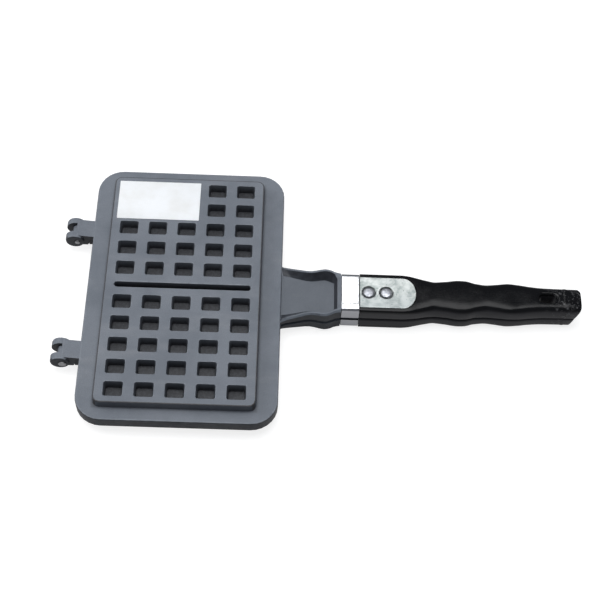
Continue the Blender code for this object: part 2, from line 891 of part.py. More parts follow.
def sheet_mesh(rows, name):
    bm = sheet(rows)
    bmesh.ops.recalc_face_normals(bm, faces=bm.faces)
    if bm.faces[0].normal.z < 0:
        bmesh.ops.reverse_faces(bm, faces=bm.faces)
    mesh = bpy.data.meshes.new(name)
    bm.to_mesh(mesh)
    bm.free()
    return mesh


def solidify(item, thickness, offset):
    wall = item.modifiers.new("thickness", "SOLIDIFY")
    wall.thickness = thickness
    wall.offset = offset
    wall.use_even_offset = False


def cover_recess(half, frame):
    """The shallow bed of the cover plate, cut along the crown from above."""
    rows = crown_rows(cover_length + touch_gap, cover_half_width + touch_gap, cover_thickness + touch_gap)
    rows.insert(0, [(-overrun, y, z) for _, y, z in rows[0]])
    item = tool(half + "_cover_recess", sheet_mesh(rows, "cover_recess"), frame, (grip_start, 0.0, 0.0))
    solidify(item, overrun + cover_thickness, 1)
    return item


def tang_pocket_mesh():
    bm = bmesh.new()
    end = tang_end + touch_gap
    middle = (end + ferrule_end - overrun) / 2
    half = (end - middle, tang_half_width + touch_gap)
    block(bm, (middle, 0.0), half, -overrun, tang_top + touch_gap, 0.0)
    return finish_mesh(bm, "tang_pocket")


def grip_hole_mesh():
    """Rivet holes through the grip and the blind hole of the insert."""
    bm = bmesh.new()
    for x in rivet_places:
        bore(bm, x, rivet_bore, half_height + overrun)
    bore(bm, screw_place, insert_radius + touch_gap, tang_top + insert_length + 2 * touch_gap)
    return finish_mesh(bm, "grip_holes")


def hanger_mesh():
    outline = rounded_rectangle(hanger_length / 2, hanger_width / 2, hanger_width / 2 - touch_gap)
    return finish_mesh(slab(outline, -overrun, half_height + overrun, "hanger"), "hanger")


def hanger_mouth_mesh():
    return mouth_mesh(hanger_length / 2, hanger_width / 2, hanger_edge, grip_height, "hanger_mouth")


grip_tools = {
    "tang_pocket": tang_pocket_mesh(),
    "grip_holes": grip_hole_mesh()}
hanger_tools = {
    "hanger": hanger_mesh(),
    "hanger_mouth": hanger_mouth_mesh()}


def grip(half, frame, lean):
    item = piece(half + "_grip", grip_mesh(lean), grip_black, frame)
    cut(item, cover_recess(half, frame))
    for name, mesh in grip_tools.items():
        cut(item, tool(half + "_" + name, mesh, frame))
    for name, mesh in hanger_tools.items():
        cut(item, tool(half + "_" + name, mesh, frame, (handle_end - hanger_inset, 0.0, 0.0)))


# Cover plate with its dished rivet places

def cover_plate(half, frame):
    mesh = sheet_mesh(crown_rows(cover_length, cover_half_width, 0.0), "cover_plate")
    item = piece(half + "_cover_plate", mesh, cover_metal, frame, (grip_start, 0.0, 0.0))
    solidify(item, cover_thickness, -1)
    dishes = bmesh.new()
    bores = bmesh.new()
    floor = cover_height - rivet_dish_depth
    for x in rivet_places:
        rod(dishes, (x, 0.0, floor + overrun / 2), rivet_dish_radius, overrun, (0.0, 0.0, 1.0))
        bore(bores, x, rivet_bore, half_height + overrun)
    cut(item, tool(half + "_dishes", finish_mesh(dishes, "dishes"), frame))
    cut(item, tool(half + "_cover_bores", finish_mesh(bores, "cover_bores"), frame))


def rivet(name, frame, x):
    """A domed head in the dish, a shank through grip and tang, and a tail below the washer."""
    seat = cover_height - rivet_dish_depth + touch_gap
    profile = head_points(rivet_head_radius, rivet_head_height, seat)
    profile += [
        (rivet_radius, seat),
        (rivet_radius, tang_low),
        (rivet_tail_radius, tang_low),
        (rivet_tail_radius, (tang_low + touch_gap) / 2),
        (0.0, touch_gap)]
    turned(name, profile, steel, frame, (x, 0.0, 0.0))


def ring(name, look, frame, x, low, high, inner, outer):
    profile = [(inner, high), (outer, high), (outer, low), (inner, low)]
    turned(name, profile, look, frame, (x, 0.0, 0.0), closed=True)


def grip_screw(name, frame):
    tip = tang_top + insert_length
    profile = [
        (0.0, tip),
        (screw_radius * screw_tip_share, tip),
        (screw_radius, tip - screw_radius * screw_tip_share),
        (screw_radius, screw_head_top),
        (screw_head_radius, screw_head_top),
        (screw_head_radius, touch_gap + screw_head_height / 4),
        (screw_head_radius * screw_head_share, touch_gap),
        (0.0, touch_gap)]
    turned(name, profile, steel, frame, (screw_place, 0.0, 0.0))


def handle(half, frame, lean):
    ferrule(half + "_ferrule", frame)
    grip(half, frame, lean)
    cover_plate(half, frame)
    washer_low = tang_low + touch_gap
    for word, x in zip(("inner", "outer"), rivet_places):
        rivet(half + "_rivet_" + word, frame, x)
        ring(half + "_washer_" + word, steel, frame, x, washer_low, washer_low + washer_thickness,
             rivet_bore, washer_radius)
    insert_low = tang_top + touch_gap
    ring(half + "_grip_insert", brass, frame, screw_place, insert_low, insert_low + insert_length,
         screw_bore, insert_radius)
    grip_screw(half + "_grip_screw", frame)


handle("upper", upper_frame, 1)
handle("lower", lower_frame, -1)


# Paper label on the far corner of the upper panel

def paper_label():
    bm = bmesh.new()
    low = half_height + touch_gap
    block(bm, (0.0, 0.0), (label_length / 2, label_width / 2), low, low + label_thickness, 0.0, touch_gap)
    x = label_side_margin + (label_length - panel_width) / 2
    y = (panel_length - label_width) / 2 - label_end_margin
    piece("paper_label", finish_mesh(bm, "paper_label"), paper, upper_frame, (x, y, 0.0))


paper_label()
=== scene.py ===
"""Looks of the stovetop waffle iron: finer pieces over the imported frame, finishes, stage and camera.

Lengths are in metres. X runs from the hinge to the handle, Y across the plates, Z up. Each piece of a half
is drawn in that half's own frame, with x and y from the panel's centre and z from the parting plane. The
lower half is the same frame turned over.
"""

import math

import bmesh
import bpy
from mathutils import Matrix, Vector


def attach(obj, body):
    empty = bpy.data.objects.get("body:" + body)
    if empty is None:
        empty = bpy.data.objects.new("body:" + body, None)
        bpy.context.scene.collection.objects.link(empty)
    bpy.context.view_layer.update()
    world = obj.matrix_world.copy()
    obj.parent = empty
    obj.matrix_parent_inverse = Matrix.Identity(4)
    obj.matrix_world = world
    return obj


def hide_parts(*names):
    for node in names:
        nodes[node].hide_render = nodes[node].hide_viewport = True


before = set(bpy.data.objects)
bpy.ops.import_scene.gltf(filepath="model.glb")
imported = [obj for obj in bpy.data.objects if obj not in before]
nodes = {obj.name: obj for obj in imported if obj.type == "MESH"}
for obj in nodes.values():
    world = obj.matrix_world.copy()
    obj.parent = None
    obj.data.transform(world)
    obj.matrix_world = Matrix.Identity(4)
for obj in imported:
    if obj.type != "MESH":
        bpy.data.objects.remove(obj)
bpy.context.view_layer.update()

# Sizes that the finer pieces share with the frame
plate_x = -0.10055
half_height = 0.012
touch_gap = 0.0003
overrun = 0.002
merge_distance = 0.00001
panel_half_width = 0.0568
panel_half_length = 0.0965
neck_gap = 0.0016
neck_end = 0.1159
pin_reach = 0.082
lug_spacing = 0.104
pitch_x = 0.0215
first_row = 0.0145
pitch_y = 0.017829
pocket_columns = 5
middle_column = (pocket_columns - 1) // 2
pocket_rows = 5
pocket_half = (0.0067, 0.00555)
pocket_floor = 0.0046
pocket_draft = 0.0011
pocket_corner = 0.0015
recess_trim = 0.00006
inner_level = 0.002
neck_edge = 0.0723
slot_half = (0.04975, 0.00225)
ferrule_length = 0.0133
ferrule_half_width = 0.0162
ferrule_wall = 0.0009
ferrule_height = 0.0119
tang_low = 0.001
grip_length = 0.1626
grip_half_width = 0.0163
grip_height = 0.0117
grip_gap = 0.001
grip_end_gap = 0.0003
grip_edge = 0.0012
grip_taper = 0.0108
grip_end_lean = 0.0033
grip_end_chamfer = 0.0018
grip_end_inset = 0.0012
grip_end_drop = 0.0004
grip_closing_share = 0.45
bead_inset = 0.0115
bead_width = 0.0018
bead_height = 0.0002
hanger_half = (0.0065, 0.0036)
hanger_inset = 0.0243
hanger_edge = 0.0018
cover_length = 0.0413
cover_round = 0.010
cover_half_width = 0.0129
cover_height = 0.0119
cover_thickness = 0.0014
rivet_inset = 0.0066
rivet_pitch = 0.0128
rivet_radius = 0.002
rivet_head_radius = 0.0037
rivet_head_height = 0.0007
rivet_tail_radius = 0.0032
dish_radius = 0.0053
dish_wall = 0.0005
dish_depth = 0.001
pin_radius = 0.002
pin_head_radius = 0.0029
pin_head_height = 0.0009
pin_tail = 0.0008
pin_edge = 0.0005
knuckle_width = 0.018
label_half = (0.03075, 0.01725)
label_centre = (-0.0222, 0.0752)
label_corner = 0.0006
label_thickness = 0.0002
crown_power = 16.0
ferrule_power = 9.0

# Shares along the grip, its half width there as a share, and the power of the rounded section
grip_wave_shares = (
    (0.000, 1.000, 16.0), (0.187, 1.000, 16.0), (0.222, 0.980, 12.0), (0.257, 0.935, 7.0),
    (0.296, 0.855, 5.6), (0.340, 0.810, 4.0), (0.385, 0.830, 4.7), (0.449, 0.910, 5.0),
    (0.483, 0.885, 5.4), (0.528, 0.775, 4.7), (0.572, 0.752, 3.7), (0.622, 0.775, 4.4),
    (0.676, 0.805, 5.8), (0.720, 0.790, 4.7), (0.770, 0.725, 4.3), (0.830, 0.670, 4.2),
    (0.910, 0.650, 4.3), (1.000, 0.645, 4.3))
grip_end_power = 1.4
ferrule_row_shares = (0.0, 0.006, 0.02, 0.05, 0.15, 0.3, 0.5, 0.7, 0.85, 0.95, 0.98, 0.994, 1.0)
head_rim_share = 0.25

# Fineness and soft edges
dome_steps = 34
grip_stations = 150
round_steps = 16
turned_steps = 48
profile_steps = 4
head_steps = 8
edge_steps = 6
label_steps = 5
bed_steps = (8, 8)
cover_steps = (26, 34)
corner_divisor = 2.2
cast_edge = 0.0005
metal_edge = 0.0003
smooth_angle = math.radians(38)
cast_angle = math.radians(34)
cover_rim_angle = math.radians(60)
flat_angle = math.radians(0.6)

# How a face is sorted: its normal's upright or inward part, and the width of a rim's narrow faces
facing_up = 0.5
rim_facing = (0.3, 0.97)
lip_facing = 0.2
wall_facing = 0.6
inward_facing = (0.1, 0.35)
narrow_face = 0.0014

# Where painted shade starts and ends, past the panel's edge
foot_reach = (0.0005, 0.0019)
foot_start = (-0.004, -0.002)
panel_side = (0.0015, 0.004)

# Where a finish, a painted shade or a painted sheen starts and ends, as heights from the parting plane
foot_level = (0.0058, 0.0085)
outer_level = (0.002, 0.004)
trough_level = (0.0042, 0.0052)
chamber_level = (0.0027, 0.0080)
grip_side_level = (0.0075, 0.0105)

# Where a finish starts and ends along the iron, from the plates' centre and from the grip's end
trough_start = (0.0705, 0.0745)
scuff_reach = (-0.031, -0.010)

# Where the ferrule's painted shade and the cover's darker tone start and end across the iron
ferrule_side = (0.0095, 0.0150)
cover_minus_y_reach = (-0.012, 0.007)

# How strongly each finish and each painted shade shows
rim_wear = 0.25
lip_wear = 0.35
worn_share = 0.6
bare_share = 0.5
burnt_and_shade_share = 0.9
panel_wall_shade_share = 0.5
trough_share = 0.34
crease_shade_share = 0.3
baked_and_shade_share = 0.9
groove_grime_and_shade_share = 0.9

# Tones of finishes, painted shade and painted sheen: a pair is the two ends of a tone that varies, a single
# one lies over it
cast_coat = ((0.126, 0.145, 0.174), (0.178, 0.198, 0.230))
cast_streak = (0.250, 0.262, 0.285)
cast_grain = (0.090, 0.100, 0.118)
cast_bare = (0.34, 0.36, 0.39)
# Burnt crust with painted shade, for the recesses
cast_burnt_and_shade = ((0.014, 0.014, 0.016), (0.030, 0.031, 0.036))
# Painted shade for the sideways walls
cast_wall_shade = (0.017, 0.018, 0.023)
cast_trough = (0.045, 0.052, 0.062)
# Painted shade for the crease at the panel's foot
cast_crease_shade = (0.040, 0.042, 0.050)
cast_baked = ((0.050, 0.043, 0.038), (0.120, 0.113, 0.110))
# Painted shade for the chambers among the inner pegs
cast_chamber_shade = (0.022, 0.020, 0.020)
chrome_plating = ((0.86, 0.87, 0.88), (0.74, 0.75, 0.77))
# Painted shade for the ferrule's sides
chrome_side_shade = (0.40, 0.405, 0.43)
cover_metal = ((0.47, 0.49, 0.48), (0.25, 0.285, 0.275))
cover_brushed = (0.56, 0.57, 0.57)
cover_spot = (0.20, 0.23, 0.22)
# A darker tone towards the cover's -Y side
cover_minus_y_tone = (0.22, 0.245, 0.25)
# Grime and painted shade for the groove round each rivet
cover_groove_grime_and_shade = (0.045, 0.047, 0.052)
rivet_metal = ((0.46, 0.47, 0.50), (0.27, 0.28, 0.31))
grip_resin = ((0.0040, 0.0042, 0.0052), (0.020, 0.021, 0.024))
# Painted sheen for the grip's sides
grip_side_sheen = (0.050, 0.049, 0.055)
grip_scuffed = (0.13, 0.13, 0.135)
steel_turned = ((0.24, 0.24, 0.25), (0.38, 0.38, 0.39))
steel_rust = (0.11, 0.066, 0.042)
brass_turned = ((0.65, 0.48, 0.18), (0.48, 0.34, 0.13))
paper_sheet = ((0.85, 0.87, 0.89), (0.79, 0.80, 0.80))
paper_fibre = (0.70, 0.72, 0.74)

# Heights of the finest relief
fine_relief = 0.0002
cast_relief = 0.0003
ripple_relief = 0.0006
soft_relief = 0.0012

# Stage, lights and camera
floor_size = 12.0
floor_drop = 0.0002
floor_tone = 0.36
floor_glow = 0.80
glossy_share = 0.405
lights = (
    ("light_above", (-0.1, 0.2, 1.6), (1.4, 0.8), 17.0, (0.985, 0.993, 1.0)),
    ("light_left", (-1.25, 0.45, 0.8), (0.8, 0.7), 7.0, (1.0, 1.0, 1.0)),
    ("light_rear", (-0.12, 1.3, 1.6), (0.55, 0.7), 3.4, (1.0, 1.0, 1.0)))
world_front = (0.27, 0.275, 0.285, 1.0)
world_back = (0.24, 0.25, 0.27, 1.0)
world_seen = (0.90, 0.90, 0.90, 1.0)
camera_lens = 81.0
camera_sensor = 36.0
camera_clip = (0.05, 40.0)
camera_rows = (
    (0.99924977, -0.0335625, -0.01932651, -0.03362432),
    (0.01855162, 0.85283549, -0.52185015, -0.52044805),
    (0.03399692, 0.52110004, 0.85281826, 0.86022936),
    (0.0, 0.0, 0.0, 1.0))

# Derived places
ferrule_end = neck_end + ferrule_length
grip_start = ferrule_end + touch_gap
handle_end = grip_start + grip_length
end_top = grip_height - grip_end_drop
rivet_places = (grip_start + rivet_inset, grip_start + rivet_inset + rivet_pitch)


def half_matrix(half):
    """From a half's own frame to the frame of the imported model."""
    turn = 0.0 if half == "upper" else math.pi
    return Matrix.Translation((plate_x, 0.0, half_height)) @ Matrix.Rotation(turn, 4, "X")


# Shapes

def mesh_from(bm, name):
    """The mesh of a shape, with its faces turned outward."""
    bmesh.ops.recalc_face_normals(bm, faces=bm.faces)
    mesh = bpy.data.meshes.new(name)
    bm.to_mesh(mesh)
    bm.free()
    return mesh


def add_to(bm, other):
    """Puts another shape into a shape."""
    mesh = bpy.data.meshes.new("added")
    other.to_mesh(mesh)
    other.free()
    bm.from_mesh(mesh)
    bpy.data.meshes.remove(mesh)


def piece(name, mesh, look, half, angle=smooth_angle):
    """An object of a half, with its place in its mesh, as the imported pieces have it."""
    mesh.transform(half_matrix(half))
    item = bpy.data.objects.new(name, mesh)
    bpy.context.scene.collection.objects.link(item)
    mesh.materials.clear()
    mesh.materials.append(look)
    mesh.shade_smooth()
    mesh.set_sharp_from_angle(angle=angle)
    return item


def cut(mesh, tool_mesh, name):
    """Takes the tool's space away from the mesh and returns the mesh that is left."""
    body = bpy.data.objects.new(name, mesh)
    tool = bpy.data.objects.new(name + "_tool", tool_mesh)
    for item in (body, tool):
        bpy.context.scene.collection.objects.link(item)
    step = body.modifiers.new("cut", "BOOLEAN")
    step.operation = "DIFFERENCE"
    step.solver = "EXACT"
    step.object = tool
    bpy.context.view_layer.update()
    shaped = body.evaluated_get(bpy.context.evaluated_depsgraph_get())
    result = bpy.data.meshes.new_from_object(shaped)
    bpy.data.objects.remove(body)
    bpy.data.objects.remove(tool)
    return result


def arc(centre, radius, start, end, steps):
    """Points on an arc from one angle to another."""
    points = []
    for step in range(steps + 1):
        angle = start + (end - start) * step / steps
        points.append((centre[0] + radius * math.cos(angle), centre[1] + radius * math.sin(angle)))
    return points


def rounded_rectangle(half_x, half_y, radius, steps=round_steps):
    """Points round a rectangle with rounded corners, about its centre."""
    points = []
    inner_x = half_x - radius
    inner_y = half_y - radius
    quarter = math.pi / 2
    corners = ((inner_x, inner_y), (-inner_x, inner_y), (-inner_x, -inner_y), (inner_x, -inner_y))
    for turn, corner in enumerate(corners):
        points += arc(corner, radius, turn * quarter, (turn + 1) * quarter, steps)
    return points


def loft(sections):
    """A closed body through sections that have the same number of points."""
    bm = bmesh.new()
    rings = [[bm.verts.new(point) for point in section] for section in sections]
    count = len(sections[0])
    for first, second in zip(rings, rings[1:]):
        for index in range(count):
            following = (index + 1) % count
            bm.faces.new((first[index], first[following], second[following], second[index]))
    bm.faces.new(rings[0])
    bm.faces.new(rings[-1])
    return bm


def sheet(rows):
    """An open surface through rows of points."""
    bm = bmesh.new()
    lines = [[bm.verts.new(point) for point in row] for row in rows]
    for first, second in zip(lines, lines[1:]):
        for index in range(len(first) - 1):
            bm.faces.new((first[index], first[index + 1], second[index + 1], second[index]))
    return bm


def thickened(rows, thickness):
    """A closed plate below a surface of rows, with upright side walls."""
    bm = sheet(rows)
    add_to(bm, sheet([[(x, y, z - thickness) for x, y, z in row] for row in rows]))
    bm.verts.ensure_lookup_table()
    count = len(rows[0])
    total = count * len(rows)
    rim = [(0, column) for column in range(count)]
    rim += [(row, count - 1) for row in range(1, len(rows))]
    rim += [(len(rows) - 1, column) for column in range(count - 2, -1, -1)]
    rim += [(row, 0) for row in range(len(rows) - 2, 0, -1)]
    places = [row * count + column for row, column in rim]
    for index, place in enumerate(places):
        following = places[(index + 1) % len(places)]
        bm.faces.new([bm.verts[spot] for spot in (place, following, following + total, place + total)])
    bmesh.ops.remove_doubles(bm, verts=bm.verts, dist=merge_distance)
    bmesh.ops.recalc_face_normals(bm, faces=bm.faces)
    return bm


def row_slope(grades, index):
    """Slope at a row of a table, zero where the curve turns back."""
    if index == 0:
        return grades[0]
    if index == len(grades):
        return grades[-1]
    before = grades[index - 1]
    after = grades[index]
    if before * after <= 0:
        return 0.0
    return 2 * before * after / (before + after)


def smooth_rows(table, share):
    """Values between the rows of a table, on a smooth curve that doesn't overshoot them."""
    places = [row[0] for row in table]
    index = 0
    while index < len(places) - 2 and share > places[index + 1]:
        index += 1
    span = places[index + 1] - places[index]
    along = (share - places[index]) / span
    rise = along * along * (3 - 2 * along)
    leave = along * (1 - along) ** 2
    arrive = along * along * (along - 1)
    values = []
    for column in range(1, len(table[0])):
        levels = [row[column] for row in table]
        grades = [(levels[i + 1] - levels[i]) / (places[i + 1] - places[i]) for i in range(len(places) - 1)]
        bend = span * (row_slope(grades, index) * leave + row_slope(grades, index + 1) * arrive)
        values.append(levels[index] + (levels[index + 1] - levels[index]) * rise + bend)
    return values


def dome(half_width, low, height, power):
    """Points over a rounded half section, from +Y at the low side over the top to -Y."""
    points = []
    for step in range(2 * dome_steps + 1):
        angle = math.pi / 2 * step / dome_steps
        across = math.copysign(abs(math.cos(angle)) ** (2 / power), math.cos(angle))
        points.append((half_width * across, low + (height - low) * abs(math.sin(angle)) ** (2 / power)))
    return points


def crown(y, half_width, low, height):
    """Height of the rounded section at y."""
    return low + (height - low) * max(0.0, 1 - (abs(y) / half_width) ** crown_power) ** (1 / crown_power)


def turned(profile, where, direction=(0.0, 0.0, 1.0)):
    """A closed body from (radius, height) points, turned about its axis, which goes through where."""
    bm = bmesh.new()
    lean = Vector((0.0, 0.0, 1.0)).rotation_difference(Vector(direction)).to_matrix().to_4x4()
    turn = Matrix.Translation(where) @ lean
    rings = []
    for radius, height in profile:
        ring = []
        for step in range(turned_steps):
            angle = 2 * math.pi * step / turned_steps
            point = Vector((radius * math.cos(angle), radius * math.sin(angle), height))
            ring.append(bm.verts.new(turn @ point))
        rings.append(ring)
    for first, second in zip(rings, rings[1:]):
        for index in range(turned_steps):
            following = (index + 1) % turned_steps
            bm.faces.new((first[index], first[following], second[following], second[index]))
    bmesh.ops.remove_doubles(bm, verts=bm.verts, dist=merge_distance)
    loose = [face for face in bm.faces if face.calc_area() < merge_distance ** 2]
    bmesh.ops.delete(bm, geom=loose, context="FACES")
    return bm


def rounded_profile(points, radius):
    """A (radius, height) profile with its sharp corners rounded."""
    made = [points[0]]
    for before, corner, after in zip(points, points[1:], points[2:]):
        here = Vector(corner)
        back = Vector(before) - here
        onward = Vector(after) - here
        reach = min(radius, back.length / corner_divisor, onward.length / corner_divisor)
        start = here + back.normalized() * reach
        end = here + onward.normalized() * reach
        for step in range(profile_steps + 1):
            share = step / profile_steps
            point = start * (1 - share) ** 2 + here * 2 * share * (1 - share) + end * share ** 2
            made.append((max(0.0, point.x), point.y))
    made.append(points[-1])
    return made


# Shader nodes

class Look:
    """A material with one Principled shader, and short names for the nodes that feed it."""

    def __init__(self, name, **values):
        self.material = bpy.data.materials.new(name)
        self.material.use_nodes = True
        self.tree = self.material.node_tree
        self.shader = self.tree.nodes["Principled BSDF"]
        for socket, value in values.items():
            self.shader.inputs[socket.replace("_", " ")].default_value = value
        self.place = self.tree.nodes.new("ShaderNodeTexCoord").outputs["Object"]

    def node(self, kind, **settings):
        made = self.tree.nodes.new(kind)
        for name, value in settings.items():
            setattr(made, name, value)
        return made

    def feed(self, socket, value):
        if isinstance(value, bpy.types.NodeSocket):
            self.tree.links.new(value, socket)
        else:
            socket.default_value = value

    def sized(self, scale):
        """The place with its three axes scaled."""
        made = self.node("ShaderNodeMapping")
        self.feed(made.inputs["Vector"], self.place)
        made.inputs["Scale"].default_value = scale
        return made.outputs["Vector"]

    def noise(self, scale, detail=2.0, roughness=0.5, place=None, distortion=0.0):
        """Noise from 0 to 1. Its scale is the number of swells to the metre."""
        made = self.node("ShaderNodeTexNoise")
        self.feed(made.inputs["Vector"], place or self.place)
        made.inputs["Scale"].default_value = scale
        made.inputs["Detail"].default_value = detail
        made.inputs["Roughness"].default_value = roughness
        made.inputs["Distortion"].default_value = distortion
        return made.outputs["Fac"]

    def cells(self, scale):
        made = self.node("ShaderNodeTexVoronoi", feature="F1")
        self.feed(made.inputs["Vector"], self.place)
        made.inputs["Scale"].default_value = scale
        return made.outputs["Distance"]

    def math(self, operation, first, second=0.0):
        made = self.node("ShaderNodeMath", operation=operation)
        self.feed(made.inputs[0], first)
        self.feed(made.inputs[1], second)
        return made.outputs[0]

    def span(self, value, low, high, to_low=0.0, to_high=1.0):
        """The value from low to high, spread smoothly from to_low to to_high."""
        made = self.node("ShaderNodeMapRange", interpolation_type="SMOOTHSTEP")
        self.feed(made.inputs["Value"], value)
        made.inputs["From Min"].default_value = low
        made.inputs["From Max"].default_value = high
        made.inputs["To Min"].default_value = to_low
        made.inputs["To Max"].default_value = to_high
        return made.outputs["Result"]

    def axis(self, name):
        made = self.node("ShaderNodeSeparateXYZ")
        self.feed(made.inputs[0], self.place)
        return made.outputs[name]

    def mask(self, name):
        """A number that the mesh keeps for each face."""
        return self.node("ShaderNodeAttribute", attribute_name=name).outputs["Fac"]

    def mix(self, share, first, second):
        made = self.node("ShaderNodeMix", data_type="RGBA")
        self.feed(made.inputs[0], share)
        for socket, value in ((made.inputs[6], first), (made.inputs[7], second)):
            self.feed(socket, value if isinstance(value, bpy.types.NodeSocket) else (*value, 1.0))
        return made.outputs[2]

    def bump(self, height, strength, distance, normal=None):
        made = self.node("ShaderNodeBump")
        made.inputs["Strength"].default_value = strength
        made.inputs["Distance"].default_value = distance
        self.feed(made.inputs["Height"], height)
        if normal is not None:
            self.feed(made.inputs["Normal"], normal)
        return made.outputs["Normal"]

    def finish(self, colour=None, roughness=None, normal=None, metallic=None):
        for name, value in (("Base Color", colour), ("Roughness", roughness), ("Normal", normal),
                            ("Metallic", metallic)):
            if value is not None:
                self.feed(self.shader.inputs[name], value)
        return self.material


def cast_look():
    """Cast aluminium with a dark coating: fine grain, soft blotches, worn edges and burnt recesses. Painted
    shade darkens the recesses towards their floors, the sideways walls, the crease at the panel's foot and
    the chambers among the inner pegs.
    """
    look = Look("cast_metal_worn", Specular_IOR_Level=0.32)
    grain = look.noise(1500.0, 3.0, 0.6)
    pits = look.span(look.cells(520.0), 0.12, 0.3)
    soft = look.noise(26.0, 4.0, 0.6, distortion=0.4)
    streak = look.noise(60.0, 3.0, 0.55, place=look.sized((0.35, 1.0, 1.0)))
    rub = look.noise(210.0, 3.0, 0.6)

    level = look.math("ABSOLUTE", look.math("SUBTRACT", look.axis("Z"), half_height))
    along = look.math("SUBTRACT", look.axis("X"), plate_x)
    past_x = look.math("SUBTRACT", look.math("ABSOLUTE", along), panel_half_width)
    past_y = look.math("SUBTRACT", look.math("ABSOLUTE", look.axis("Y")), panel_half_length)
    past = look.math("MAXIMUM", past_x, past_y)

    tone = look.mix(look.span(soft, 0.32, 0.68), *cast_coat)
    tone = look.mix(look.span(streak, 0.5, 0.78, 0.0, 0.4), tone, cast_streak)
    tone = look.mix(look.span(grain, 0.3, 0.7, 0.0, 0.38), tone, cast_grain)
    wear = look.math("MULTIPLY", look.mask("edge"), look.span(rub, 0.3, 0.62))
    tone = look.mix(look.math("MULTIPLY", wear, worn_share), tone, cast_bare)

    # Burnt crust in the recesses, with painted shade that darkens them more towards their floors
    deep = look.math("MULTIPLY", look.mask("recess"), look.span(level, pocket_floor, half_height, 1.0, 0.3))
    crust = look.span(look.noise(480.0, 3.0, 0.6), 0.4, 0.64)
    burnt_and_shade = look.mix(crust, *cast_burnt_and_shade)
    tone = look.mix(look.math("MULTIPLY", deep, burnt_and_shade_share), tone, burnt_and_shade)

    # Painted shade on sideways walls and on the inner walls of the neck channel, half as strong on and next
    # to the panel
    wall_shade = look.math("MULTIPLY", look.mask("wall"), look.span(rub, 0.2, 0.7, 0.96, 0.8))
    wall_shade = look.math("MULTIPLY", wall_shade, look.span(past, *panel_side, panel_wall_shade_share, 1.0))
    tone = look.mix(wall_shade, tone, cast_wall_shade)
    trough = look.math("MULTIPLY", look.span(along, *trough_start), look.span(level, *trough_level, 1.0, 0.0))
    tone = look.mix(look.math("MULTIPLY", trough, trough_share), tone, cast_trough)

    # Painted shade in the crease where the panel's foot meets the flange
    near = look.span(past, *foot_reach, 1.0, 0.0)
    foot = look.math("MULTIPLY", near, look.span(level, *foot_level, 1.0, 0.0))
    foot = look.math("MULTIPLY", foot, look.span(past, *foot_start))
    foot = look.math("MULTIPLY", foot, look.span(level, *outer_level))
    tone = look.mix(look.math("MULTIPLY", foot, crease_shade_share), tone, cast_crease_shade)

    oily = look.span(look.noise(70.0, 4.0, 0.6), 0.35, 0.7)
    baked_and_shade = look.mix(oily, *cast_baked)
    # Painted shade: the inner side gets darker deeper among its pegs
    baked_and_shade = look.mix(look.span(level, *chamber_level, 0.0, 0.8), baked_and_shade, cast_chamber_shade)
    tone = look.mix(look.math("MULTIPLY", look.mask("inside"), baked_and_shade_share), tone, baked_and_shade)

    roughness = look.math("ADD", look.span(soft, 0.3, 0.7, 0.42, 0.56), look.math("MULTIPLY", wear, -0.14))
    height = look.math("ADD", look.math("MULTIPLY", grain, 0.6), look.math("MULTIPLY", pits, 0.4))
    normal = look.bump(soft, 0.12, soft_relief, look.bump(height, 0.35, cast_relief))
    return look.finish(tone, roughness, normal, look.math("MULTIPLY", wear, bare_share))


def chrome_look():
    """Polished plating with fine scratches round the band, a faint haze of handling and painted shade that
    darkens its sides.
    """
    look = Look("ferrule_chrome_polished", Metallic=1.0)
    scratch = look.noise(420.0, 4.0, 0.65, place=look.sized((6.0, 0.25, 0.6)))
    haze = look.noise(90.0, 3.0, 0.55)
    tone = look.mix(look.span(haze, 0.35, 0.7, 0.0, 1.0), *chrome_plating)
    # Painted shade: the band darkens towards its sides
    side = look.span(look.math("ABSOLUTE", look.axis("Y")), *ferrule_side)
    tone = look.mix(side, tone, chrome_side_shade)
    dull = look.span(haze, 0.35, 0.75, 0.10, 0.22)
    roughness = look.math("ADD", dull, look.span(scratch, 0.55, 0.8, 0.0, 0.12))
    return look.finish(tone, roughness, look.bump(scratch, 0.12, fine_relief))


def rivet_ring(look):
    """How far a point lies in the groove round a rivet's head."""
    nearest = None
    for place in rivet_places:
        from_x = look.math("SUBTRACT", look.axis("X"), place + plate_x)
        from_y = look.axis("Y")
        squares = look.math("ADD", look.math("POWER", from_x, 2.0), look.math("POWER", from_y, 2.0))
        distance = look.math("SQRT", squares)
        nearest = distance if nearest is None else look.math("MINIMUM", nearest, distance)
    inner = look.span(nearest, rivet_head_radius - touch_gap, rivet_head_radius + touch_gap)
    return look.math("MULTIPLY", inner, look.span(nearest, dish_radius - dish_wall, dish_radius, 1.0, 0.0))


